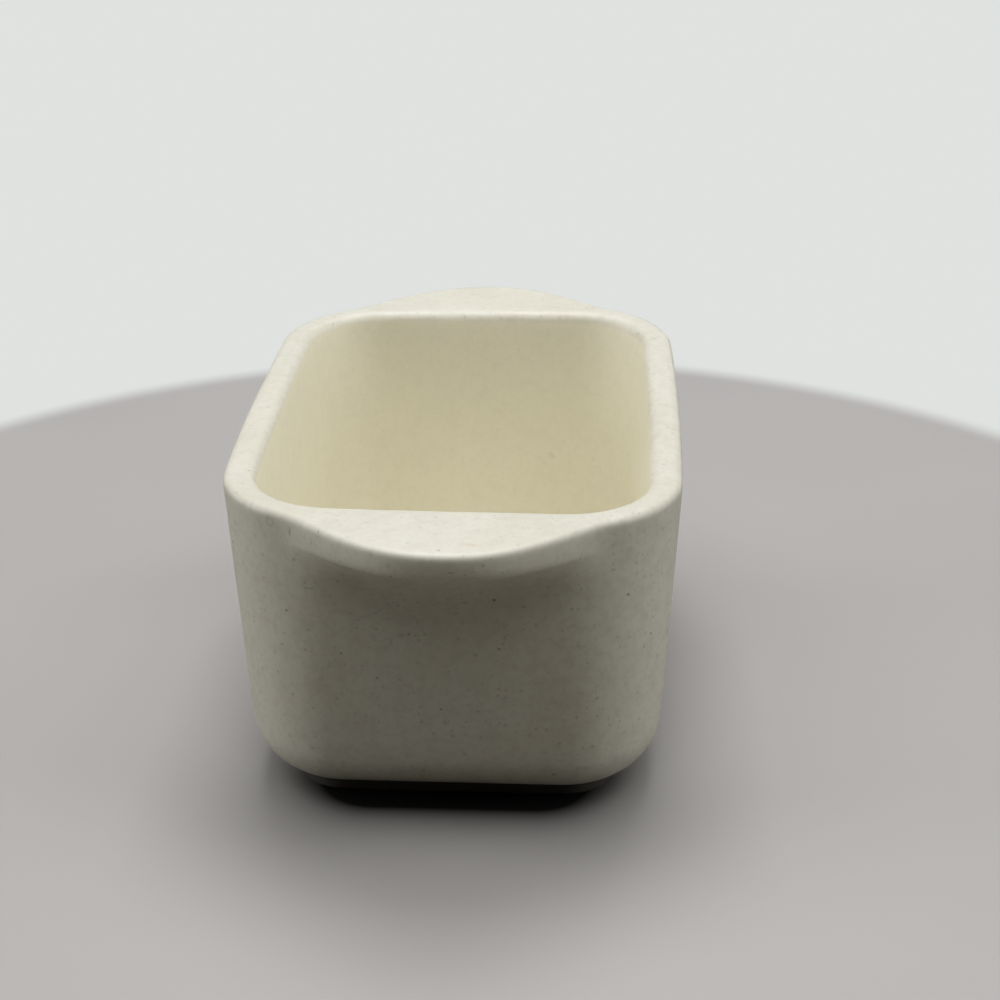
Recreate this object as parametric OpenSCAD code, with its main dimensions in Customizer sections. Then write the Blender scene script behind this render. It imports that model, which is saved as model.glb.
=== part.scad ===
// Sugar packet holder: a straight-sided ceramic tub with round corners, a finger lip at each end and a low
// foot ring. It is fired in one piece. X runs across the tub, Y along it and Z up. The origin is in the
// middle of the tub, on the surface that it stands on.

/* [Body] */
// Outer width of the tub at its rim, in its middle
body_w = 77; // [68:1:90]
// Outer length of the tub at its rim, in its middle, without the lips
body_l = 99.8; // [86:0.1:120]
// Height from the table to the top of the rim
body_h = 57; // [48:1:70]
// Thickness of the walls
wall = 5.7; // [4:0.1:6.6]
// Radius of the four upright corners, outside, at the rim
corner_r = 18.6; // [15:0.1:22]
// Lean of the long walls from upright, in degrees
side_lean = 2.95; // [1:0.05:4]
// Lean of the end walls from upright, in degrees
end_lean = 3.8; // [1:0.1:5]
// How far the middle of a long wall stands out past its ends
side_bow = 1.2; // [0:0.1:2]
// How far the middle of an end wall stands out past its ends
end_bow = 0.4; // [0:0.1:1]

/* [Rim] */
// Radius of the rim's outer edge
rim_outer_r = 1.5; // [0.6:0.1:1.7]
// Radius of the rim's inner edge
rim_inner_r = 2.1; // [0.8:0.1:2.2]

/* [Lips] */
// How far a lip reaches past the end wall
lip_reach = 12.8; // [8:0.2:16]
// Width of a lip where it leaves the end wall
lip_w = 51; // [44:1:60]
// Thickness of a lip at its free edge
lip_thick = 5.6; // [4.4:0.1:6.5]
// Radius of a lip's lower edge
lip_edge_r = 2.4; // [1:0.1:2.6]
// How far the free edge stands above the rim
lip_rise = 0.6; // [0:0.1:1.5]
// Height of the hollow curve that carries a lip
lip_root = 9; // [5:0.5:12]

/* [Bottom] */
// Radius between the walls and the underside
bottom_r = 9.6; // [7:0.1:12]
// Height of the underside over the table
foot_h = 2.2; // [1.8:0.1:3.6]
// How far the foot ring stands in from the walls
foot_inset = 6.2; // [4:0.1:6.8]
// Radius of the foot ring's four corners, outside
foot_corner_r = 9.4; // [8:0.2:12]
// Width of the foot ring's standing face
foot_w = 4; // [3:0.1:5.5]
// Size of the slanted joint between the underside and the foot ring
foot_joint = 0.4; // [0.3:0.1:0.8]
// Radius of the foot ring's edges
foot_edge_r = 0.5; // [0.3:0.1:0.5]
// Height of the hollow inside the foot ring
foot_hollow = 1.5; // [1.2:0.1:1.8]
// Thickness of the floor over the underside
floor_thick = 5.4; // [4:0.2:7]
// Radius between the floor and the walls, inside
floor_r = 8; // [5:0.5:10]

/* [Hidden] */

// Points on a quarter of a ring, and steps of each curve in the section through a wall
corner_steps = 9;
end_steps = 16;
side_steps = 4;
wall_steps = 4;
round_steps = 6;
edge_steps = 3;
cove_steps = 6;
top_steps = 4;

// Shape of a lip seen from above: the first makes its middle flat and the second its start beside the wall soft
lip_middle_power = 2.4;
lip_start_power = 1.65;
// Share of the reach that the hollow curve takes, and how far round it goes, in degrees
cove_share = 0.8;
cove_turn = 54;
// How fast the corner radius inside falls where the well draws in
well_fall_share = 0.5;
quarter = 90;
half_turn = 180;

floor_z = foot_h + floor_thick;
foot_turn = asin(1 - foot_inset / bottom_r);
foot_top_z = foot_h + bottom_r * (1 - cos(foot_turn));
foot_outer = foot_inset + foot_joint;
foot_inner = foot_outer + foot_w;
lip_under_z = body_h - lip_thick;
lip_root_z = lip_under_z - lip_root;

// A row of the section: [inset from the outer face, height, share of the lip's reach, loss of corner radius]
function outer_row(inset, z, reach_share = 0) = [inset, z, reach_share, inset + draw_in(z, side_lean)];
function foot_row(inset, z) = [inset, z, 0, corner_r - foot_corner_r + inset - foot_outer];
function rim_row(inset, z, reach_share = 0) = [inset, z, reach_share, inset];
function inner_row(inset, z) =
    [wall + inset, z, 0, wall + well_fall_share * (inset + draw_in(z, side_lean))];
function draw_in(z, lean) = (body_h - z) * tan(lean);
function between(a, b, share) = a + (b - a) * share;

// Underside: from the hollow inside the foot ring, over the ring, out to the round edge
foot_rows = [
    foot_row(foot_inner + foot_edge_r, foot_hollow),
    foot_row(foot_inner, foot_hollow - foot_edge_r),
    foot_row(foot_inner, foot_edge_r),
    foot_row(foot_inner - foot_edge_r, 0),
    foot_row(foot_outer + foot_edge_r, 0),
    foot_row(foot_outer, foot_edge_r),
    foot_row(foot_outer, foot_top_z - foot_joint)
];
bottom_rows = [for (k = [0 : round_steps])
    let (turn = between(foot_turn, quarter, k / round_steps))
    outer_row(bottom_r * (1 - sin(turn)), foot_h + bottom_r * (1 - cos(turn)))];
wall_rows = [for (k = [1 : wall_steps])
    outer_row(0, between(foot_h + bottom_r, lip_root_z, k / wall_steps))];

// Lip: hollow curve, round lower edge and round upper edge
cove_rows = [for (k = [1 : cove_steps])
    let (turn = cove_turn * k / cove_steps)
    let (reach_share = cove_share * (1 - cos(turn)) / (1 - cos(cove_turn)))
    outer_row(0, lip_root_z + lip_root * sin(turn) / sin(cove_turn), reach_share)];
lip_edge_rows = [for (k = [1 : edge_steps])
    let (turn = quarter * k / edge_steps)
    outer_row(0, lip_under_z + lip_edge_r * (1 - cos(turn)), between(cove_share, 1, sin(turn)))];
rim_edge_rows = [for (k = [0 : edge_steps])
    let (turn = quarter * k / edge_steps)
    rim_row(rim_outer_r * (1 - cos(turn)), body_h - rim_outer_r * (1 - sin(turn)), 1)];
top_rows = [for (k = [1 : top_steps])
    rim_row(between(rim_outer_r, wall - rim_inner_r, k / top_steps), body_h, 1 - k / top_steps)];

// Inside: round edge of the rim, wall, round edge of the floor
mouth_rows = [for (k = [1 : edge_steps])
    let (turn = quarter * k / edge_steps)
    rim_row(wall - rim_inner_r * (1 - sin(turn)), body_h - rim_inner_r * (1 - cos(turn)))];
inside_rows = [for (k = [1 : wall_steps])
    inner_row(0, between(body_h - rim_inner_r, floor_z + floor_r, k / wall_steps))];
floor_rows = [for (k = [1 : round_steps])
    let (turn = quarter * k / round_steps)
    inner_row(floor_r * (1 - cos(turn)), floor_z + floor_r * (1 - sin(turn)))];

rows = concat(foot_rows, bottom_rows, wall_rows, cove_rows, lip_edge_rows, rim_edge_rows, top_rows,
    mouth_rows, inside_rows, floor_rows);

// Outline of the tub seen from above: a rectangle with round corners, counter-clockwise from its right side
function corner_points(x, y, r, start) = [for (k = [0 : corner_steps])
    let (turn = start + quarter * k / corner_steps)
    [x + r * cos(turn), y + r * sin(turn)]];
function line_points(a, b, steps) = [for (k = [1 : steps - 1]) between(a, b, k / steps)];
function outline(w, l, r) =
    let (x = w - r, y = l - r)
    concat(
        corner_points(x, y, r, 0),
        line_points([x, l], [-x, l], end_steps),
        corner_points(-x, y, r, quarter),
        line_points([-w, y], [-w, -y], side_steps),
        corner_points(-x, -y, r, half_turn),
        line_points([-x, -l], [x, -l], end_steps),
        corner_points(x, -y, r, half_turn + quarter),
        line_points([w, -y], [w, y], side_steps));

// How much of a lip stands at a place across the tub: 1 in the middle and 0 beside the lip
function swell(x) = pow(max(0, 1 - pow(abs(x) / (lip_w / 2), lip_middle_power)), lip_start_power);
function crown(along, half_length) = 1 - pow(along / half_length, 2);
function ring(row) =
    let (w = body_w / 2 - side_bow - row[0] - draw_in(row[1], side_lean))
    let (l = body_l / 2 - end_bow - row[0] - draw_in(row[1], end_lean))
    [for (p = outline(w, l, corner_r - row[3]))
        let (lip = swell(p[0]) * row[2])
        [
            p[0] * (1 + crown(p[1], l) * side_bow / w),
            p[1] * (1 + crown(p[0], w) * end_bow / l) + sign(p[1]) * lip_reach * lip,
            row[1] + lip_rise * lip
        ]];

rings = [for (row = rows) ring(row)];
ring_size = len(rings[0]);
last_ring = len(rings) - 1;
points = concat(
    [[0, 0, foot_hollow]],
    [for (one = rings) for (p = one) p],
    [[0, 0, floor_z]]);
floor_point = len(points) - 1;

function at(ring_number, k) = 1 + ring_number * ring_size + k % ring_size;
underside_faces = [for (k = [0 : ring_size - 1]) [0, at(0, k), at(0, k + 1)]];
upper_faces = [for (j = [0 : last_ring - 1]) for (k = [0 : ring_size - 1])
    [at(j, k), at(j + 1, k), at(j + 1, k + 1)]];
lower_faces = [for (j = [0 : last_ring - 1]) for (k = [0 : ring_size - 1])
    [at(j, k), at(j + 1, k + 1), at(j, k + 1)]];
floor_faces = [for (k = [0 : ring_size - 1]) [floor_point, at(last_ring, k + 1), at(last_ring, k)]];

module holder_body() {
    color([0.89, 0.87, 0.8])
        polyhedron(
            points = points,
            faces = concat(underside_faces, upper_faces, lower_faces, floor_faces),
            convexity = 4);
}

holder_body();
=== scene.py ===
import logging
import math
from dataclasses import dataclass
from enum import Enum
from typing import Callable

import bmesh
import bpy
from mathutils import Matrix, Vector


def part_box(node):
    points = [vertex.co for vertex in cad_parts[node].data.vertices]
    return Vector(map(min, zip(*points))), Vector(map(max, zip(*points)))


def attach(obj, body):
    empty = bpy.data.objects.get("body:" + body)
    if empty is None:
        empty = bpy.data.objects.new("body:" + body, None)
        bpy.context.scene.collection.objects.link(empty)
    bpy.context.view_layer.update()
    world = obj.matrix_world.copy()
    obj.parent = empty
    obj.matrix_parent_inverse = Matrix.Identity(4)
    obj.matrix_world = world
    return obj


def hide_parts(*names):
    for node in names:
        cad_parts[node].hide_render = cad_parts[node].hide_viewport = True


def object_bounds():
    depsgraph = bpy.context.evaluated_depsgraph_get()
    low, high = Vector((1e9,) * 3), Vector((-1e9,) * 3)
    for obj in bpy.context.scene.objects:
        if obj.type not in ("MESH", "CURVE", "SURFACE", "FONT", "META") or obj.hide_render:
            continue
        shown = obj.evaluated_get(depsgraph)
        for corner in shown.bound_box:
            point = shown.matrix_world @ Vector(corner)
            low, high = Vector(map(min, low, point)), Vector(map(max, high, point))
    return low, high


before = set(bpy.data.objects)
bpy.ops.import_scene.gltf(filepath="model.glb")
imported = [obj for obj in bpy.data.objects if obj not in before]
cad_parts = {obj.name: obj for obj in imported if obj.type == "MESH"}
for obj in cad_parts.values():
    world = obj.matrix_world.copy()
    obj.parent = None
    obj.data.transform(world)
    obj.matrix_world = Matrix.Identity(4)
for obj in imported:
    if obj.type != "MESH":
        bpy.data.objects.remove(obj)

CAD_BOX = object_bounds()
LOG = logging.getLogger("packet_holder")
MM = 0.001
SAME_HEIGHT = MM / 100
SAME_POINT = MM / 1000
QUARTER = math.pi / 2

Socket = bpy.types.NodeSocket
Pair = tuple[float, float]
Triple = tuple[float, float, float]
Colour = tuple[float, float, float, float]


class Kind(Enum):
    """What is picked in edit mode, with the name of its row of elements."""

    VERT = "verts"
    EDGE = "edges"
    FACE = "faces"


class Mark(Enum):
    """How a mark in the glaze is filled."""

    SPOT = "spot"
    RING = "ring"


class Clay:
    """A block that is shaped in edit mode, as by hand, until it is a finished piece."""

    def __init__(self, name: str, size: Vector, middle: Vector) -> None:
        """Adds the block at its size and place and opens it for editing.

        Args:
            name: The piece's name.
            size: Its lengths along X, Y and Z, in metres.
            middle: Its middle, in metres.
        """
        bpy.ops.object.select_all(action="DESELECT")
        bpy.ops.mesh.primitive_cube_add(size=1, location=middle, scale=size)
        self.piece = bpy.context.object
        self.piece.name = name
        self.piece.data.name = name
        bpy.ops.object.transform_apply(location=True, rotation=True, scale=True)
        bpy.ops.object.mode_set(mode="EDIT")

    def pick(self, kind: Kind, test: Callable[[object], bool]) -> None:
        """Selects only what passes a test.

        Args:
            kind: Whether vertices, edges or faces are picked.
            test: Says of one of them whether it is picked.
        """
        bpy.ops.mesh.select_mode(type=kind.name)
        bpy.ops.mesh.select_all(action="DESELECT")
        mesh = bmesh.from_edit_mesh(self.piece.data)
        for item in getattr(mesh, kind.value):
            if test(item):
                item.select_set(True)
        mesh.select_flush_mode()
        bmesh.update_edit_mesh(self.piece.data)

    def close(self) -> bpy.types.Object:
        """Merges doubles, turns the faces outwards and leaves edit mode.

        Returns:
            The piece.
        """
        bpy.ops.mesh.select_mode(type="FACE")
        bpy.ops.mesh.select_all(action="SELECT")
        bpy.ops.mesh.remove_doubles(threshold=SAME_POINT)
        bpy.ops.mesh.normals_make_consistent(inside=False)
        bpy.ops.object.mode_set(mode="OBJECT")
        return self.piece


def apply_modifier(piece: bpy.types.Object, kind: str, **settings: object) -> None:
    """Adds a modifier to a piece and applies it.

    Args:
        piece: The piece, which is the active object.
        kind: The modifier's type.
        **settings: Its settings.
    """
    modifier = piece.modifiers.new(kind.title(), kind)
    for name, value in settings.items():
        setattr(modifier, name, value)
    bpy.ops.object.modifier_apply(modifier=modifier.name)


def weigh(piece: bpy.types.Object, name: str, share: Callable[[Vector], float]) -> None:
    """Weights a piece's points for a modifier.

    Args:
        piece: The piece.
        name: The vertex group's name.
        share: Gives a point's weight from its place.
    """
    group = piece.vertex_groups.new(name=name)
    for point in piece.data.vertices:
        weight = share(point.co)
        if weight > 0:
            group.add([point.index], weight, "REPLACE")


def push(piece: bpy.types.Object, axis: str, reach: float, group: str) -> None:
    """Moves a piece's weighted points along an axis.

    Args:
        piece: The piece, which is the active object.
        axis: X, Y or Z.
        reach: How far a point of full weight moves, in metres.
        group: The name of the vertex group with the weights.
    """
    apply_modifier(piece, "DISPLACE", direction=axis, mid_level=0, strength=reach, vertex_group=group)


def clamp(value: float) -> float:
    """Keeps a share between 0 and 1."""
    return max(0.0, min(1.0, value))


def ease(share: float) -> float:
    """Lets a share start and end softly on its way from 0 to 1."""
    return share * share * (3 - 2 * share)


def quarter_turns(steps: int) -> list[float]:
    """The angles from 0 to a quarter turn, in equal steps."""
    return [QUARTER * k / steps for k in range(steps + 1)]


def strides(points: list[Pair]) -> list[Pair]:
    """The steps from each point of a row to the next."""
    return [(b[0] - a[0], b[1] - a[1]) for a, b in zip(points, points[1:])]


def shrunk(row: Vector, shares: tuple[float, ...]) -> list[Vector]:
    """Outlines at the height of a row, each a share of its size."""
    return [Vector((row.x * share, row.y * share, row.z)) for share in shares]


@dataclass
class Tub:
    """The tub with its rim, its foot ring and its two finger lips, all one fired piece."""

    wall: float = 5.7 * MM
    corner_r: float = 18.6 * MM
    side_lean: float = math.radians(2.95)
    end_lean: float = math.radians(3.8)
    side_bow: float = 1.2 * MM
    end_bow: float = 0.4 * MM
    past_wall: float = 1.01
    twist: float = 0.4 * MM
    end_give: float = 1.4 * MM
    middle_give: float = 1.0 * MM
    rim_outer_r: float = 1.5 * MM
    rim_inner_r: float = 2.1 * MM
    lip_reach: float = 12.8 * MM
    lip_w: float = 51 * MM
    lip_thick: float = 5.6 * MM
    lip_edge_r: float = 2.4 * MM
    lip_rise: float = 0.6 * MM
    lip_root: float = 9 * MM
    lip_middle_power: float = 2.4
    lip_start_power: float = 1.65
    cove_share: float = 0.8
    cove_turn: float = math.radians(54)
    bottom_r: float = 9.6 * MM
    foot_h: float = 2.2 * MM
    foot_inset: float = 6.2 * MM
    foot_w: float = 4 * MM
    foot_joint: float = 0.4 * MM
    foot_edge_r: float = 0.5 * MM
    foot_edge_middle: float = 0.3
    foot_hollow: float = 1.5 * MM
    hollow_rings: Pair = (0.7, 0.4)
    floor_thick: float = 5.4 * MM
    floor_r: float = 8 * MM
    floor_rings: Triple = (0.94, 0.7, 0.4)
    slump_w: float = 24 * MM
    slump_depth: float = 0.22 * MM
    grain_w: float = 3.5 * MM
    grain_depth: float = 0.05 * MM
    corner_steps: int = 12
    end_steps: int = 14
    side_steps: int = 8
    arc_steps: int = 6
    edge_steps: int = 3
    wall_steps: int = 5
    smooth_levels: int = 2

    def __post_init__(self) -> None:
        """Takes the tub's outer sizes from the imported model."""
        low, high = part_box("holder_body")
        self.height = high.z - self.lip_rise
        self.half_w = high.x - self.side_bow
        self.half_l = high.y - self.lip_reach - self.end_bow
        self.lip_under_z = self.height - self.lip_thick
        self.lip_root_z = self.lip_under_z - self.lip_root
        self.floor_z = self.foot_h + self.floor_thick

    def half_sizes(self, inset: float, z: float) -> Vector:
        """Half the width and length of the outline at a height.

        Args:
            inset: How far it stands in from the outer face.
            z: Its height.

        Returns:
            The two halves and the height, as one vector.
        """
        drop = self.height - z
        return Vector((
            self.half_w - inset - drop * math.tan(self.side_lean),
            self.half_l - inset - drop * math.tan(self.end_lean),
            z,
        ))

    def build(self) -> bpy.types.Object:
        """Models the tub.

        Returns:
            The finished piece, still without its glaze.
        """
        clay = self.raise_walls()
        self.cut_rows()
        self.turn_bottom(clay)
        self.turn_rim(clay)
        tub = clay.close()
        self.pull_lips(tub)
        self.bow_walls(tub)
        self.ease_far_end(tub)
        self.warp(tub)
        self.fire(tub)
        return tub

    def raise_walls(self) -> Clay:
        """Makes the four leaning walls, with round corners and no top or bottom.

        Returns:
            The clay, open for editing.
        """
        top = self.half_sizes(0, self.height - self.rim_outer_r)
        base = self.half_sizes(0, self.foot_h + self.bottom_r)
        middle_z = (top.z + base.z) / 2
        size = Vector((2 * top.x, 2 * top.y, top.z - base.z))
        clay = Clay("holder_tub", size, Vector((0, 0, middle_z)))
        clay.pick(Kind.EDGE, lambda edge: abs((edge.verts[0].co - edge.verts[1].co).z) > size.z / 2)
        bpy.ops.mesh.bevel(offset=self.corner_r, segments=self.corner_steps, affect="EDGES")
        clay.pick(Kind.FACE, lambda face: abs(face.normal.z) > math.cos(QUARTER / 2))
        bpy.ops.mesh.delete(type="ONLY_FACE")
        clay.pick(Kind.VERT, lambda point: point.co.z < middle_z)
        bpy.ops.transform.shrink_fatten(value=base.x - top.x)
        length_share = base.y / (top.y + base.x - top.x)
        bpy.ops.transform.resize(value=(1, length_share, 1), center_override=(0, 0, 0))
        return clay

    def cut_rows(self) -> None:
        """Cuts the walls into the columns and rows that the lips and the bow need."""
        straight = self.half_sizes(self.corner_r, self.height)
        sides = ((0, straight.x, self.end_steps), (1, straight.y, self.side_steps))
        cuts = [(axis, -half + 2 * half * k / steps)
                for axis, half, steps in sides for k in range(1, steps)]
        base_z = self.foot_h + self.bottom_r
        heights = [base_z + (self.lip_root_z - base_z) * k / self.wall_steps
                   for k in range(1, self.wall_steps + 1)]
        cove_turns = [self.cove_turn * k / self.arc_steps for k in range(1, self.arc_steps)]
        heights += [self.lip_root_z + self.lip_root * math.sin(turn) / math.sin(self.cove_turn)
                    for turn in cove_turns]
        heights += [self.lip_under_z + self.lip_edge_r * (1 - math.cos(turn))
                    for turn in quarter_turns(self.edge_steps)]
        cuts += [(2, height) for height in heights]
        for axis, place in cuts:
            normal = Vector((0, 0, 0))
            normal[axis] = 1
            bpy.ops.mesh.select_all(action="SELECT")
            bpy.ops.mesh.bisect(plane_co=normal * place, plane_no=normal)

    def cap(self, clay: Clay, z: float) -> None:
        """Closes the open loop at a height with one face, which stays selected.

        Args:
            clay: The tub's clay.
            z: The loop's height.
        """
        clay.pick(Kind.EDGE, lambda edge: edge.is_boundary
                  and all(abs(point.co.z - z) < SAME_HEIGHT for point in edge.verts))
        bpy.ops.mesh.edge_face_add()

    def tuck(self, rows: list[Vector]) -> None:
        """Draws the selected face in through a row of outlines, its corners as far as its sides.

        Args:
            rows: Half sizes and heights, beginning with where the face is now.
        """
        for now, then in zip(rows, rows[1:]):
            bpy.ops.mesh.inset(thickness=max(0.0, now.x - then.x), depth=0, use_even_offset=True)
            bpy.ops.transform.translate(value=(0, 0, then.z - now.z))

    def draw(self, rows: list[Vector]) -> None:
        """Draws the selected face through a row of outlines, each from the last.

        Args:
            rows: Half sizes and heights, beginning with where the face is now.
        """
        for now, then in zip(rows, rows[1:]):
            bpy.ops.mesh.extrude_region_move(TRANSFORM_OT_translate={"value": (0, 0, then.z - now.z)})
            bpy.ops.transform.resize(value=(then.x / now.x, then.y / now.y, 1), center_override=(0, 0, 0))

    def turn_bottom(self, clay: Clay) -> None:
        """Rounds the walls in under the tub and turns the foot ring.

        Args:
            clay: The tub's clay.
        """
        foot_turn = math.asin(1 - self.foot_inset / self.bottom_r)
        turns = [QUARTER + (foot_turn - QUARTER) * k / self.arc_steps for k in range(self.arc_steps + 1)]
        curve = [self.half_sizes(self.bottom_r * (1 - math.sin(turn)),
                                 self.foot_h + self.bottom_r * (1 - math.cos(turn))) for turn in turns]
        outer = self.foot_inset + self.foot_joint
        inner = outer + self.foot_w
        edge = self.foot_edge_r
        bend = edge * self.foot_edge_middle
        ring_top = self.foot_h + self.bottom_r * (1 - math.cos(foot_turn)) - self.foot_joint
        ring = [self.half_sizes(inset, z) for inset, z in (
            (outer, ring_top), (outer, edge), (outer + bend, bend), (outer + edge, 0),
            (inner - edge, 0), (inner - bend, bend), (inner, edge),
            (inner, self.foot_hollow - edge), (inner + edge, self.foot_hollow),
            (inner + 2 * edge, self.foot_hollow))]
        self.cap(clay, curve[0].z)
        self.tuck(curve + ring)
        self.draw(ring[-1:] + shrunk(ring[-1], self.hollow_rings))

    def turn_rim(self, clay: Clay) -> None:
        """Turns the rim over inwards and draws the well down to its floor.

        Args:
            clay: The tub's clay.
        """
        self.cap(clay, self.height - self.rim_outer_r)
        turns = quarter_turns(self.edge_steps)
        out_r = self.rim_outer_r
        in_r = self.rim_inner_r
        outer = [(out_r * (1 - math.cos(turn)), out_r * math.sin(turn)) for turn in turns]
        inner = [(in_r * math.sin(turn), in_r * math.cos(turn)) for turn in turns]
        flat = (self.wall - out_r - in_r) / self.wall_steps
        for inset, rise in strides(outer) + [(flat, 0)] * self.wall_steps + strides(inner):
            bpy.ops.mesh.inset(thickness=inset, depth=rise, use_even_offset=True)
        mouth_z = self.height - in_r
        arc_z = self.floor_z + self.floor_r
        rows = [self.half_sizes(self.wall, mouth_z + (arc_z - mouth_z) * k / self.wall_steps)
                for k in range(self.wall_steps + 1)]
        rows += [self.half_sizes(self.wall + self.floor_r * (1 - math.cos(turn)),
                                 self.floor_z + self.floor_r * (1 - math.sin(turn)))
                 for turn in quarter_turns(self.arc_steps)[1:]]
        self.draw(rows + shrunk(rows[-1], self.floor_rings))

    def edge_distance(self, place: Vector) -> float:
        """How far a point lies inside the rim's outline, seen from above.

        Args:
            place: The point's place.

        Returns:
            The distance, in metres.
        """
        x = abs(place.x) - (self.half_w - self.corner_r)
        y = abs(place.y) - (self.half_l - self.corner_r)
        if x > 0 and y > 0:
            return self.corner_r - math.hypot(x, y)
        return self.corner_r - max(x, y)

    def lip_share(self, place: Vector) -> float:
        """How much of the lip's reach a point takes, from its height or its place across the rim.

        Args:
            place: The point's place.

        Returns:
            The share, which is 0 on the inner faces.
        """
        rim_z = self.height - self.rim_outer_r
        if place.z > rim_z + SAME_HEIGHT:
            across = self.edge_distance(place) - self.rim_outer_r
            return clamp(1 - across / (self.wall - self.rim_outer_r - self.rim_inner_r))
        if self.edge_distance(place) > self.wall / 2 + (self.height - place.z) * math.tan(self.side_lean):
            return 0.0
        if place.z < self.lip_under_z:
            rise = clamp((place.z - self.lip_root_z) / self.lip_root) * math.sin(self.cove_turn)
            return self.cove_share * (1 - math.sqrt(1 - rise ** 2)) / (1 - math.cos(self.cove_turn))
        rise = clamp((place.z - self.lip_under_z) / self.lip_edge_r)
        return self.cove_share + (1 - self.cove_share) * math.sqrt(1 - (1 - rise) ** 2)

    def swell(self, place: Vector) -> float:
        """How much of a lip stands at a place across the tub.

        Args:
            place: The point's place.

        Returns:
            The share, which is 1 in the lip's middle and 0 beside it.
        """
        if abs(place.y) < self.half_l - self.corner_r:
            return 0.0
        across = abs(2 * place.x / self.lip_w)
        return max(0.0, 1 - across ** self.lip_middle_power) ** self.lip_start_power

    def pull_share(self, place: Vector, sign: int) -> float:
        """How far a point is pulled out with the lip at the end that the sign names."""
        return self.lip_share(place) * self.swell(place) if place.y * sign > 0 else 0.0

    def bow_share(self, place: Vector, axis: int, sign: int) -> float:
        """How much of a wall's bow a point takes: all of it on a lip, and less the further in it lies.

        Args:
            place: The point's place.
            axis: 0 for the long walls and 1 for the end walls.
            sign: Which of the two walls it is.

        Returns:
            The share.
        """
        halves = (self.half_w, self.half_l)
        crown = clamp(1 - (place[1 - axis] / halves[1 - axis]) ** 2)
        out = sign * place[axis] / halves[axis]
        return crown if out >= self.past_wall else max(0.0, out) * crown

    def lean_share(self, place: Vector) -> float:
        """How far a point leans out with the far end wall, most at the wall's top.

        Args:
            place: The point's place.

        Returns:
            The share.
        """
        start = self.half_l - 2 * self.corner_r
        along = clamp((place.y - start) / self.corner_r)
        return ease(along) * clamp(place.z / self.height) ** 2

    def crown_share(self, place: Vector) -> float:
        """How far a point leans out with the middle of the far end wall."""
        return self.lean_share(place) * clamp(1 - (place.x / self.half_w) ** 2)

    def warp_share(self, place: Vector, sign: int) -> float:
        """How far a point rises or sinks with two opposite corners of the rim."""
        corner = clamp(sign * place.x * place.y / (self.half_w * self.half_l))
        return corner * clamp(place.z / self.height) ** 2

    def pull_lips(self, tub: bpy.types.Object) -> None:
        """Pulls the rim out into a finger lip at each end.

        Args:
            tub: The tub.
        """
        far_reach = self.lip_reach - self.end_give - self.middle_give
        for name, sign, reach in (("lip_front", -1, -self.lip_reach), ("lip_back", 1, far_reach)):
            weigh(tub, name, lambda place: self.pull_share(place, sign))
            push(tub, "Z", self.lip_rise, name)
            push(tub, "Y", reach, name)

    def bow_walls(self, tub: bpy.types.Object) -> None:
        """Lets each wall stand out a little in its middle.

        Args:
            tub: The tub.
        """
        for axis, bow in ((0, self.side_bow), (1, self.end_bow)):
            for sign in (-1, 1):
                name = f"bow_{'xy'[axis]}_{sign}"
                weigh(tub, name, lambda place: self.bow_share(place, axis, sign))
                push(tub, "XY"[axis], sign * bow, name)

    def ease_far_end(self, tub: bpy.types.Object) -> None:
        """Lets the far end wall lean out a little at its top, most in its middle, as firing does.

        Args:
            tub: The tub.
        """
        for name, share, give in (("far_end", self.lean_share, self.end_give),
                                  ("far_middle", self.crown_share, self.middle_give)):
            weigh(tub, name, share)
            push(tub, "Y", give, name)

    def warp(self, tub: bpy.types.Object) -> None:
        """Lifts two opposite corners of the rim a little and sinks the other two, as firing does.

        Args:
            tub: The tub.
        """
        for name, sign in (("warp_up", 1), ("warp_down", -1)):
            weigh(tub, name, lambda place: self.warp_share(place, sign))
            push(tub, "Z", sign * self.twist, name)

    def fire(self, tub: bpy.types.Object) -> None:
        """Smooths the tub and gives it the unevenness of a fired wall.

        Args:
            tub: The tub.
        """
        apply_modifier(tub, "SUBSURF", levels=self.smooth_levels, render_levels=self.smooth_levels)
        for name, width, depth in (("slump", self.slump_w, self.slump_depth),
                                   ("grain", self.grain_w, self.grain_depth)):
            texture = bpy.data.textures.new(name, "CLOUDS")
            texture.noise_scale = width
            texture.noise_depth = 1
            apply_modifier(tub, "DISPLACE", texture=texture, texture_coords="LOCAL", mid_level=1,
                           strength=depth)
        tub.vertex_groups.clear()
        bpy.ops.object.shade_smooth()


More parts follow.
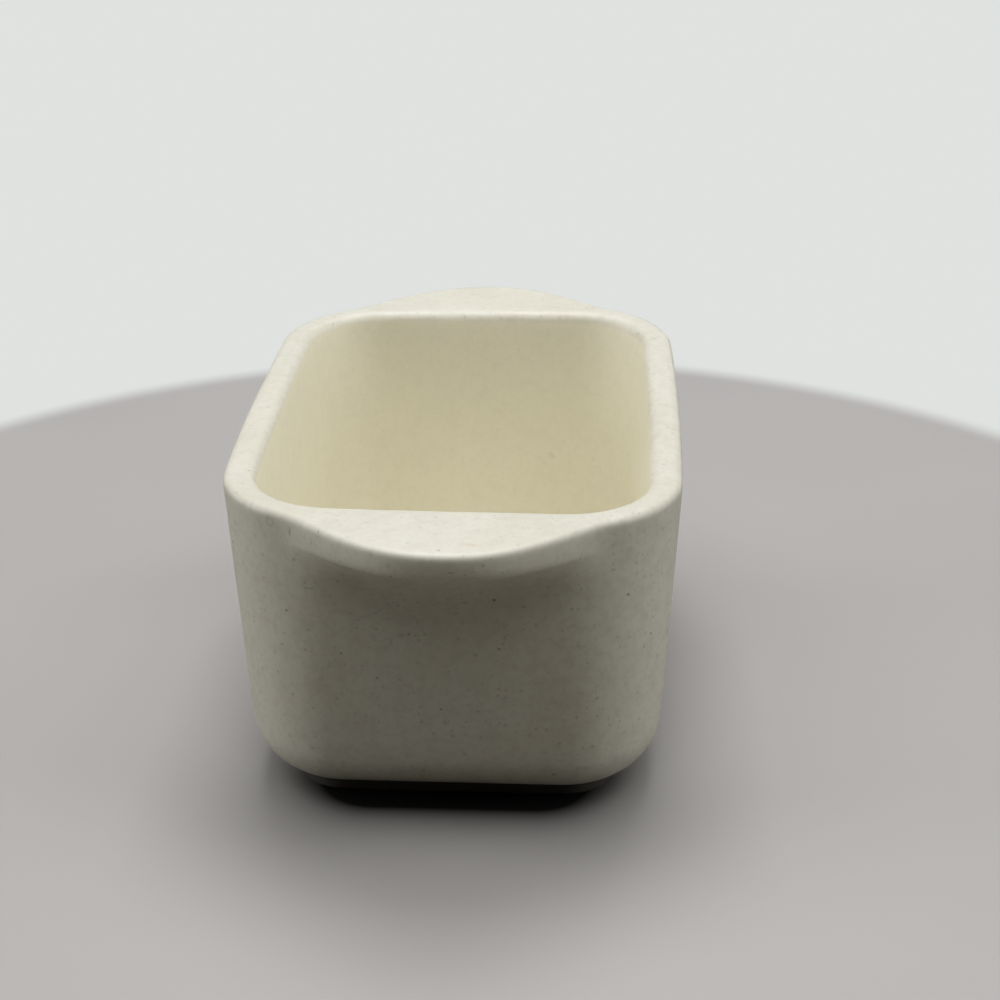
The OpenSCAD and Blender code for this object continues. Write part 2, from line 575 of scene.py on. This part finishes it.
class Bench:
    """Lays out the nodes of one material."""

    # The colour sockets of a Mix node, whose names are shared by its other kinds of data
    MIX_FIRST = 6
    MIX_SECOND = 7
    MIX_RESULT = 2
    WAVE_DETAIL = 2.0

    def __init__(self, name: str) -> None:
        """Starts an empty material.

        Args:
            name: The material's name.
        """
        self.material = bpy.data.materials.new(name)
        self.material.use_nodes = True
        self.tree = self.material.node_tree
        self.tree.nodes.clear()

    def add(self, kind: str, settings: dict | None = None, **inputs: object) -> bpy.types.Node:
        """Adds a node.

        Args:
            kind: The node's type, without the words in front.
            settings: Properties of the node.
            **inputs: Values or sockets for its inputs, with low lines for blanks.

        Returns:
            The node.
        """
        node = self.tree.nodes.new("ShaderNode" + kind)
        for name, value in (settings or {}).items():
            setattr(node, name, value)
        for name, value in inputs.items():
            self.feed(node, name.replace("_", " "), value)
        return node

    def feed(self, node: bpy.types.Node, name: str | int, value: object) -> None:
        """Sets one input to a value, or links a socket to it.

        Args:
            node: The node.
            name: The input's name or number.
            value: The value or the socket.
        """
        socket = node.inputs[name]
        if isinstance(value, Socket):
            self.tree.links.new(value, socket)
        else:
            socket.default_value = value

    def place(self) -> Socket:
        """The place on the piece, in millimetres."""
        where = self.add("TexCoord").outputs["Object"]
        return self.add("Mapping", Vector=where, Scale=(1 / MM,) * 3).outputs[0]

    def math(self, operation: str, *values: object) -> Socket:
        """Works out a sum.

        Args:
            operation: What is done with the values.
            *values: Numbers or sockets.

        Returns:
            The socket with the result.
        """
        node = self.add("Math", {"operation": operation})
        for k, value in enumerate(values):
            self.feed(node, k, value)
        return node.outputs[0]

    def vector(self, operation: str, *values: object) -> Socket:
        """Works out a sum of vectors.

        Args:
            operation: What is done with the values.
            *values: Vectors or sockets.

        Returns:
            The socket with the result.
        """
        node = self.add("VectorMath", {"operation": operation})
        for k, value in enumerate(values):
            self.feed(node, k, value)
        return node.outputs["Value" if operation == "LENGTH" else "Vector"]

    def flat(self, place: Socket) -> Socket:
        """How far a place lies from the two upright middle planes."""
        return self.vector("MULTIPLY", self.vector("ABSOLUTE", place), (1, 1, 0))

    def past_core(self, flat: Socket, outline: Triple) -> Socket:
        """How far a place lies outside the core of an outline, the box between its corners' middles.

        Args:
            flat: How far the place lies from the two upright middle planes.
            outline: The outline's half width, half length and corner radius.

        Returns:
            A socket that equals the corner radius on the outline itself.
        """
        half_w, half_l, radius = outline
        past = self.vector("SUBTRACT", flat, (half_w - radius, half_l - radius, 0))
        return self.vector("LENGTH", self.vector("MAXIMUM", past, (0, 0, 0)))

    def shake(self, place: Socket, width: float, reach: float) -> Socket:
        """Moves places about, so that a shape's edge wavers.

        Args:
            place: The place, in millimetres.
            width: How wide the waves are.
            reach: How far they move a place at most.

        Returns:
            The moved place.
        """
        wave = self.add("TexNoise", Vector=place, Scale=1 / width, Detail=self.WAVE_DETAIL).outputs["Color"]
        swing = self.vector("SUBTRACT", wave, (0.5, 0.5, 0.5))
        return self.vector("MULTIPLY_ADD", swing, (reach,) * 3, place)

    def fade(self, value: object, low: float, high: float, start: float = 0, end: float = 1) -> Socket:
        """Maps a value smoothly from one span to another.

        Args:
            value: A number or socket.
            low: Where the first span begins.
            high: Where the first span ends.
            start: What low becomes.
            end: What high becomes.

        Returns:
            The socket with the result.
        """
        node = self.add("MapRange", {"interpolation_type": "SMOOTHSTEP"}, Value=value, From_Min=low,
                        From_Max=high, To_Min=start, To_Max=end)
        return node.outputs[0]

    def noise(self, place: Socket, width: float, detail: float) -> Socket:
        """Noise whose lumps are about as wide as said, in millimetres."""
        return self.add("TexNoise", Vector=place, Scale=1 / width, Detail=detail).outputs["Fac"]

    def mix(self, share: object, first: object, second: object) -> Socket:
        """Mixes two colours.

        Args:
            share: How much of the second colour there is.
            first: A colour or socket.
            second: A colour or socket.

        Returns:
            The socket with the mixture.
        """
        node = self.add("Mix", {"data_type": "RGBA"})
        self.feed(node, 0, share)
        self.feed(node, self.MIX_FIRST, first)
        self.feed(node, self.MIX_SECOND, second)
        return node.outputs[self.MIX_RESULT]


@dataclass(frozen=True)
class Patches:
    """A soft pattern that changes from one value to another. Its width is in millimetres."""

    width: float
    low: float
    high: float
    start: float = 0
    end: float = 1
    detail: float = 3

    def mask(self, bench: Bench, place: Socket) -> Socket:
        """The pattern's value at each place."""
        noise = bench.noise(place, self.width, self.detail)
        return bench.fade(noise, self.low, self.high, self.start, self.end)


@dataclass(frozen=True)
class Flecks:
    """One kind of mark that lies scattered through the glaze. Lengths are in millimetres."""

    cell: float
    radius: float
    shown: float
    strength: float
    soft: float = 0.5
    wobble: float = 0.15
    wobble_gain: float = 4
    stretch: float = 1
    turn: Triple = (0, 0, 0)
    least_size: float = 0.35
    size_spread: float = 0.75
    least_depth: float = 0.4
    depth_spread: float = 0.6

    def mask(self, bench: Bench, place: Socket) -> Socket:
        """Where the marks are.

        Args:
            bench: The material's nodes.
            place: The place on the piece, in millimetres.

        Returns:
            A socket with the strength on a mark and 0 elsewhere.
        """
        sway = self.wobble_gain * self.wobble
        shaken = bench.shake(place, sway + self.radius, sway)
        turned = bench.add("Mapping", Vector=shaken, Rotation=self.turn, Scale=(1 / self.stretch, 1, 1))
        cells = bench.add("TexVoronoi", {"feature": "F1"}, Vector=turned.outputs[0], Scale=1 / self.cell,
                          Randomness=1.0)
        chance = bench.add("SeparateColor", Color=cells.outputs["Color"])
        reach = self.radius / self.cell
        size = bench.math("MULTIPLY_ADD", chance.outputs["Green"], self.size_spread * reach,
                          self.least_size * reach)
        near = bench.math("DIVIDE", cells.outputs["Distance"], size)
        spot = bench.fade(near, self.soft, 1, 1, 0)
        there = bench.math("LESS_THAN", chance.outputs["Red"], self.shown)
        depth = bench.math("MULTIPLY_ADD", chance.outputs["Blue"], self.depth_spread * self.strength,
                           self.least_depth * self.strength)
        return bench.math("MULTIPLY", bench.math("MULTIPLY", spot, there), depth)


def strokes(cell: float, shown: float, strength: float, stretch: float, turn: Triple) -> Flecks:
    """Thin strokes that lie scattered through the glaze, all one way.

    Args:
        cell: How far apart they lie.
        shown: How many of them there are.
        strength: How dark they are.
        stretch: How many times as long as wide they are.
        turn: Which way they lie.

    Returns:
        The strokes.
    """
    return Flecks(cell, radius=0.12, shown=shown, strength=strength, soft=0.2, wobble=0.4, stretch=stretch,
                  turn=turn)


@dataclass(frozen=True)
class Blemish:
    """One mark at a place of its own. Lengths are in millimetres."""

    place: Triple
    size: Triple
    strength: float
    fill: Mark = Mark.SPOT
    soft: float = 0.3
    wobble: float = 0.3
    ring_inside: float = 0.45
    ring_line: float = 0.8

    def mask(self, bench: Bench, place: Socket) -> Socket:
        """Where the mark is.

        Args:
            bench: The material's nodes.
            place: The place on the piece, in millimetres.

        Returns:
            A socket with the strength on the mark and 0 elsewhere.
        """
        shaken = bench.shake(place, min(self.size) + self.wobble, self.wobble)
        offset = bench.vector("SUBTRACT", shaken, self.place)
        near = bench.vector("LENGTH", bench.vector("DIVIDE", offset, self.size))
        mask = bench.fade(near, self.soft, 1, self.strength, 0)
        if self.fill is Mark.RING:
            mask = bench.math("MULTIPLY", mask, bench.fade(near, self.ring_inside, self.ring_line))
        return mask


@dataclass(frozen=True)
class SpeckledGlaze:
    """Cream stoneware glaze, satin, with fine iron flecks and soft clouds, a lighter, warmer copy on the
    well's walls as painted light, and an unglazed foot painted near black as painted shade.

    Lengths are in millimetres. The well is told by its outline's half width, half length and corner radius,
    and its inner tone starts well_inset inside it. The lean repeats that of the far end wall.
    """

    light: Colour = (0.735, 0.72, 0.63, 1)
    warm: Colour = (0.71, 0.69, 0.59, 1)
    # A lighter, warmer copy of the glaze for the well's walls: painted light standing in for light bouncing
    # round the well.
    inner: Colour = (0.885, 0.85, 0.705, 1)
    # The well floor's warm tone, as bright as the glaze outside: the painted light of the walls is left off
    # the floor, which the lamps light from above.
    well_floor_tone: Colour = (0.73, 0.7, 0.57, 1)
    grey: Colour = (0.60, 0.572, 0.487, 1)
    iron: Colour = (0.10, 0.085, 0.068, 1)
    rust: Colour = (0.56, 0.36, 0.19, 1)
    # The unglazed foot's colour, darkened to near black as painted shade: the clay's own tone is not known.
    bare_foot_shade: Colour = (0.075, 0.066, 0.055, 1)
    tones: Patches = Patches(width=26, low=0.36, high=0.66)
    clouds: Patches = Patches(width=3.2, low=0.44, high=0.7, end=0.4, detail=5)
    grain: Patches = Patches(width=1.1, low=0.42, high=0.7, end=0.42, detail=4)
    sheen: Patches = Patches(width=9, low=0.3, high=0.7, start=0.43, end=0.55)
    mark_dullness: float = 0.2
    bare_dullness: float = 0.42
    coat: float = 0.06
    coat_roughness: float = 0.35
    well_floor_tone_top: float = 9.0
    well_floor_tone_fade: float = 7.0
    bare_height: float = 3.0
    bare_fade: float = 0.25
    ragged_width: float = 1.2
    ragged_height: float = 0.5
    ragged_detail: float = 3
    well: Triple = (36.2, 48.0, 18.0)
    well_inset: Pair = (3.6, 2.8)
    well_floor: float = 7.0
    well_floor_fade: float = 0.4
    well_mouth: float = 54.6
    well_mouth_fade: float = 1.8
    lean_start: float = 12.0
    lean_end: float = 31.0
    lean_top: float = 57.0
    lean_reach: float = 2.2
    well_share: float = 0.18
    rim_share: float = 0.6
    rim_height: float = 56.2
    rim_fade: float = 0.6
    fine_width: float = 0.7
    wave_width: float = 2.6
    wave_share: float = 1.3
    mark_pit: float = 0.5
    relief_detail: float = 2
    relief_strength: float = 0.3
    relief_height: float = 0.05
    flecks: tuple[Flecks, ...] = (
        Flecks(cell=1.4, radius=0.27, shown=0.34, strength=0.46, soft=0.1),
        Flecks(cell=2.4, radius=0.4, shown=0.2, strength=0.68, soft=0.2),
        Flecks(cell=1.3, radius=0.5, shown=0.6, strength=0.36, soft=0, wobble=0.3),
        strokes(cell=1.6, shown=0.4, strength=0.5, stretch=8, turn=(0.3, 0.5, 0.2)),
        strokes(cell=1.6, shown=0.35, strength=0.5, stretch=8, turn=(1.2, 0.2, 1.4)),
        strokes(cell=1.7, shown=0.35, strength=0.45, stretch=7, turn=(0.4, 1.5, 0.8)),
    )
    ghosts: tuple[Flecks, ...] = (
        Flecks(cell=2.6, radius=0.8, shown=0.3, strength=0.6, soft=0, wobble=0.4),
        Flecks(cell=7, radius=2.2, shown=0.35, strength=0.36, soft=0, wobble=1.2),
    )
    specks: tuple[Blemish, ...] = (
        Blemish((-35.4, -37.6, 46.8), (1.5, 0.34, 0.36), 0.8, wobble=0.1),
        Blemish((-35.5, -37.5, 45.4), (1.5, 0.25, 1.3), 0.35, soft=0),
        Blemish((-27.4, -47.0, 55.2), (0.85, 2, 0.85), 0.3, Mark.RING, soft=0.6, wobble=0.3),
        Blemish((-24.0, -49.0, 54.4), (0.3, 2, 1.3), 0.4, soft=0, wobble=0.6),
        Blemish((-21.5, -48.4, 44.3), (1.4, 1.6, 0.22), 0.45, soft=0, wobble=0.5),
        Blemish((7.8, -48.9, 43.0), (0.32, 1.5, 0.32), 0.8, wobble=0.1),
        Blemish((3.0, -48.9, 42.4), (1.0, 1.5, 0.2), 0.4, soft=0, wobble=0.5),
        Blemish((-25.7, -46.5, 39.3), (0.3, 1.5, 0.3), 0.7, wobble=0.1),
        Blemish((-17.0, -48.2, 32.2), (0.32, 1.5, 0.3), 0.6, wobble=0.1),
        Blemish((8.4, -48.3, 33.7), (0.3, 1.5, 0.28), 0.6, wobble=0.1),
        Blemish((-11.4, -47.9, 27.6), (0.26, 1.5, 0.26), 0.7, wobble=0.1),
        Blemish((-1.1, -47.6, 21.7), (0.32, 1.5, 0.3), 0.65, wobble=0.1),
        Blemish((29.0, -45.4, 42.5), (0.5, 0.5, 0.42), 0.75, wobble=0.15),
        Blemish((33.1, -40.7, 32.9), (0.6, 0.5, 0.36), 0.65, wobble=0.1),
        Blemish((36.1, -34.0, 29.8), (1.2, 0.6, 1.3), 0.6, soft=0, wobble=0.3),
    )
    stains: tuple[Flecks | Blemish, ...] = (
        Flecks(cell=14, radius=2.6, shown=0.2, strength=0.2, soft=0, wobble=1.6),
        Blemish((4.7, -58.2, 57.5), (2.6, 0.9, 1), 0.32, soft=0, wobble=0.8),
        Blemish((2.1, -62.2, 54.6), (1.1, 1.2, 0.28), 0.55, soft=0.1),
        Blemish((5.4, -61.9, 54.5), (0.6, 1.2, 0.3), 0.5, soft=0.1),
    )

    def most(self, bench: Bench, marks: tuple[Flecks | Blemish, ...], place: Socket) -> Socket:
        """Joins the masks of a row of marks.

        Args:
            bench: The material's nodes.
            marks: Flecks and blemishes.
            place: The place on the piece, in millimetres.

        Returns:
            A socket with the strongest of them at each place.
        """
        masks = [mark.mask(bench, place) for mark in marks]
        whole = masks[0]
        for mask in masks[1:]:
            whole = bench.math("MAXIMUM", whole, mask)
        return whole

    def inside(self, bench: Bench, place: Socket) -> Socket:
        """Where the well is, whose walls get the glaze's lighter, warmer copy as painted light.

        Args:
            bench: The material's nodes.
            place: The place on the piece, in millimetres.

        Returns:
            A socket that is 1 in the well and 0 outside.
        """
        spot = bench.add("SeparateXYZ", Vector=place)
        height = spot.outputs["Z"]
        rise = bench.math("POWER", bench.math("DIVIDE", height, self.lean_top), 2.0)
        lean = bench.fade(spot.outputs["Y"], self.lean_start, self.lean_end, 0, self.lean_reach)
        leaned = bench.add("CombineXYZ", Y=bench.math("MULTIPLY", lean, rise)).outputs[0]
        flat = bench.vector("SUBTRACT", bench.flat(place), leaned)
        radius = self.well[-1]
        deep, shallow = self.well_inset
        around = bench.fade(bench.past_core(flat, self.well), radius - deep, radius - shallow, 1, 0)
        below = bench.fade(height, self.well_mouth, self.well_mouth + self.well_mouth_fade, 1, 0)
        above = bench.fade(height, self.well_floor - self.well_floor_fade, self.well_floor)
        return bench.math("MULTIPLY", bench.math("MULTIPLY", around, below), above)

    def ground(self, bench: Bench, place: Socket, height: Socket, well: Socket) -> Socket:
        """The glaze's colour without its marks: on the well's walls a lighter, warmer copy as painted light,
        and on the well's floor, which the lamps light from above, a warm tone as bright as the outside.

        Args:
            bench: The material's nodes.
            place: The place on the piece, in millimetres.
            height: Its height.
            well: 1 in the well and 0 outside.

        Returns:
            The socket with the colour.
        """
        outside = bench.mix(self.tones.mask(bench, place), self.light, self.warm)
        on_well_floor = bench.fade(height, self.well_floor_tone_top, self.well_floor_tone_top + self.well_floor_tone_fade, 1, 0)
        # Painted light: the well's walls get the lighter, warmer copy of the glaze, and its floor the warm
        # tone as bright as the outside.
        return bench.mix(well, outside, bench.mix(on_well_floor, self.inner, self.well_floor_tone))

    def skin(self, bench: Bench, place: Socket, marks: Socket) -> Socket:
        """The small unevenness of the glaze's surface, with a pit at each mark.

        Args:
            bench: The material's nodes.
            place: The place on the piece, in millimetres.
            marks: Where the marks are.

        Returns:
            The socket with the normal.
        """
        fine = bench.noise(place, self.fine_width, self.relief_detail)
        pitted = bench.math("MULTIPLY_ADD", marks, -self.mark_pit, fine)
        waves = bench.noise(place, self.wave_width, self.relief_detail)
        relief = bench.math("MULTIPLY_ADD", waves, self.wave_share, pitted)
        bump = bench.add("Bump", Height=relief, Strength=self.relief_strength,
                         Distance=self.relief_height * MM)
        return bump.outputs[0]

    def material(self) -> bpy.types.Material:
        """Builds the glaze's material.

        Returns:
            The material.
        """
        bench = Bench("speckled_glaze")
        place = bench.place()
        height = bench.add("SeparateXYZ", Vector=place).outputs["Z"]
        well = self.inside(bench, place)
        colour = self.ground(bench, place, height, well)
        rim = bench.fade(height, self.rim_height, self.rim_height + self.rim_fade, 1, self.rim_share)
        shown = bench.math("MULTIPLY", rim, bench.math("MULTIPLY_ADD", well, self.well_share - 1, 1.0))
        for mask in (self.clouds.mask(bench, place), self.grain.mask(bench, place),
                     self.most(bench, self.ghosts, place)):
            colour = bench.mix(bench.math("MULTIPLY", mask, shown), colour, self.grey)
        colour = bench.mix(self.most(bench, self.stains, place), colour, self.rust)
        marks = bench.math("MULTIPLY", self.most(bench, self.flecks + self.specks, place), shown)
        colour = bench.mix(marks, colour, self.iron)
        ragged = bench.math("MULTIPLY_ADD", bench.noise(place, self.ragged_width, self.ragged_detail),
                            self.ragged_height, height)
        # Painted shade: the unglazed foot and the lowest few millimetres are coloured near black; they are
        # also made duller.
        bare_foot_shade = bench.fade(ragged, self.bare_height, self.bare_height + self.bare_fade, 1, 0)
        colour = bench.mix(bare_foot_shade, colour, self.bare_foot_shade)
        dull = bench.math("ADD", bench.math("MULTIPLY", marks, self.mark_dullness),
                          bench.math("MULTIPLY", bare_foot_shade, self.bare_dullness))
        rough = bench.math("ADD", self.sheen.mask(bench, place), dull)
        shader = bench.add("BsdfPrincipled", Base_Color=colour, Roughness=rough,
                           Normal=self.skin(bench, place, marks), Coat_Weight=self.coat,
                           Coat_Roughness=self.coat_roughness)
        bench.add("OutputMaterial", Surface=shader.outputs[0])
        return bench.material


@dataclass(frozen=True)
class PaleTable:
    """The plain floor: a grey disc round the holder and an even pale ground past it.

    The camera sees it paler than it lights the holder. A painted shadow darkens it to near black towards the
    place where the holder stands, whose core is told by its outline's half width, half length and corner
    radius, in millimetres.
    """

    near: Colour = (0.455, 0.441, 0.434, 1)
    # The near-black colour of the painted shadow round where the holder stands.
    deep: Colour = (0.004, 0.004, 0.004, 1)
    far: Colour = (0.74, 0.76, 0.742, 1)
    bounce: Colour = (0.165, 0.153, 0.13, 1)
    near_reach: float = 180.5
    edge: float = 5
    middle: Triple = (0, -11.5, 0)
    # The painted shadow's core outline, and how far out it fades.
    stand: Triple = (23.3, 43.9, 9.4)
    shadow_fade: float = 5.6
    sheen: Patches = Patches(width=60, low=0.3, high=0.7, start=0.42, end=0.48)

    def unshadowed_share(self, bench: Bench, place: Socket) -> Socket:
        """How far a place on the floor lies outside the painted shadow, from 0 where the holder stands to 1
        well away from it.

        Args:
            bench: The material's nodes.
            place: The place on the floor, in millimetres.

        Returns:
            A socket with the share.
        """
        past = bench.past_core(bench.flat(place), self.stand)
        gap = bench.math("MAXIMUM", bench.math("SUBTRACT", past, self.stand[-1]), 0.0)
        shade = bench.math("EXPONENT", bench.math("DIVIDE", gap, -self.shadow_fade))
        return bench.math("SUBTRACT", 1.0, shade)

    def material(self) -> bpy.types.Material:
        """Builds the floor's material.

        Returns:
            The material.
        """
        bench = Bench("pale_table")
        place = bench.place()
        reach = bench.vector("LENGTH", bench.vector("SUBTRACT", place, self.middle))
        past = bench.fade(reach, self.near_reach - self.edge, self.near_reach + self.edge)
        seen = bench.add("LightPath").outputs["Is Camera Ray"]
        lit = bench.mix(seen, self.bounce, self.near)
        # Painted shadow: the floor's colour darkens to near black towards where the holder stands.
        colour = bench.mix(self.unshadowed_share(bench, place), self.deep, lit)
        disc = bench.add("BsdfPrincipled", Base_Color=colour, Roughness=self.sheen.mask(bench, place))
        ground = bench.add("Emission", Color=self.far)
        both = bench.add("MixShader", Fac=bench.math("MULTIPLY", past, seen))
        bench.feed(both, 1, disc.outputs[0])
        bench.feed(both, 2, ground.outputs[0])
        bench.add("OutputMaterial", Surface=both.outputs[0])
        return bench.material


@dataclass(frozen=True)
class Lamp:
    """A soft square lamp, aimed at the holder. Its place and size are in metres."""

    name: str
    place: Triple
    watts: float
    colour: Triple = (1, 1, 1)
    size: float = 0.45

    def hang(self, aim: Vector) -> None:
        """Hangs the lamp and turns it towards a point.

        Args:
            aim: The point.
        """
        light = bpy.data.lights.new(self.name, "AREA")
        light.shape = "SQUARE"
        light.size = self.size
        light.energy = self.watts
        light.color = self.colour
        lamp = bpy.data.objects.new(self.name, light)
        lamp.location = self.place
        lamp.rotation_euler = (aim - Vector(self.place)).to_track_quat("-Z", "Y").to_euler()
        bpy.context.scene.collection.objects.link(lamp)


@dataclass
class Studio:
    """The floor, the lamps, the world and the camera."""

    eye: Triple = (22.88 * MM, -306.4 * MM, 182.05 * MM)
    pitch: float = math.radians(25.243)
    yaw: float = math.radians(-3.125)
    roll: float = math.radians(-0.395)
    focal_px: float = 1858
    image_px: float = 1000
    sensor_mm: float = 36
    nearest: float = 10 * MM
    floor_size: float = 6
    lamp_aim: Triple = (0, 0, 30 * MM)
    lamps: tuple[Lamp, ...] = (
        Lamp("back_lamp", (0, 0.26, 0.88), 5.0),
        Lamp("left_lamp", (-0.46, 0, 0.8), 1.5),
        Lamp("right_lamp", (0.46, 0, 0.8), 1.85),
        Lamp("low_left_lamp", (-0.88, 0, 0.25), 2.7),
        Lamp("low_right_lamp", (0.88, 0, 0.25), 2.15),
        Lamp("front_lamp", (0, -0.46, 0.8), 1.15, (1, 0.97, 0.9)),
    )
    world_colour: Colour = (0.79, 0.77, 0.73, 1)

    def build(self) -> None:
        """Sets the whole studio up."""
        self.lay_floor()
        for lamp in self.lamps:
            lamp.hang(Vector(self.lamp_aim))
        self.light_world()
        self.aim_camera()
        bpy.context.scene.view_settings.view_transform = "Standard"

    def lay_floor(self) -> None:
        """Lays the floor at the height that the holder stands on."""
        bpy.ops.object.select_all(action="DESELECT")
        bpy.ops.mesh.primitive_plane_add(size=self.floor_size, location=(0, 0, CAD_BOX[0].z))
        floor = bpy.context.object
        floor.name = "floor"
        floor.data.materials.append(PaleTable().material())

    def light_world(self) -> None:
        """Shows the camera a pale background, which lights nothing."""
        world = bpy.data.worlds.new("studio")
        world.use_nodes = True
        tree = world.node_tree
        ground = tree.nodes["Background"]
        ground.inputs["Color"].default_value = self.world_colour
        seen = tree.nodes.new("ShaderNodeLightPath").outputs["Is Camera Ray"]
        tree.links.new(seen, ground.inputs["Strength"])
        bpy.context.scene.world = world

    def aim_camera(self) -> None:
        """Puts the camera where the photograph was taken from."""
        level = math.cos(self.pitch)
        ahead = Vector((math.sin(self.yaw) * level, math.cos(self.yaw) * level, -math.sin(self.pitch)))
        right = Vector((math.cos(self.yaw), -math.sin(self.yaw), 0))
        up = right.cross(ahead)
        right, up = (math.cos(self.roll) * right + math.sin(self.roll) * up,
                     math.cos(self.roll) * up - math.sin(self.roll) * right)
        turn = Matrix((right, up, -ahead)).transposed().to_4x4()
        lens = bpy.data.cameras.new("photo_camera")
        lens.sensor_width = self.sensor_mm
        lens.lens = self.sensor_mm * self.focal_px / self.image_px
        lens.clip_start = self.nearest
        camera = bpy.data.objects.new("photo_camera", lens)
        camera.matrix_world = Matrix.Translation(self.eye) @ turn
        bpy.context.scene.collection.objects.link(camera)
        bpy.context.scene.camera = camera


def report(piece: bpy.types.Object) -> None:
    """Logs a piece's name and size."""
    size = [round(length / MM, 1) for length in piece.dimensions]
    LOG.info("%s: %s mm, %d faces", piece.name, size, len(piece.data.polygons))


def main() -> None:
    """Builds the holder and the studio round it."""
    logging.basicConfig(level=logging.INFO, format="%(name)s: %(message)s")
    Studio().build()
    tub = Tub().build()
    tub.data.materials.append(SpeckledGlaze().material())
    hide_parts("holder_body")
    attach(tub, "root")
    report(tub)


if __name__ == "__main__":
    main()
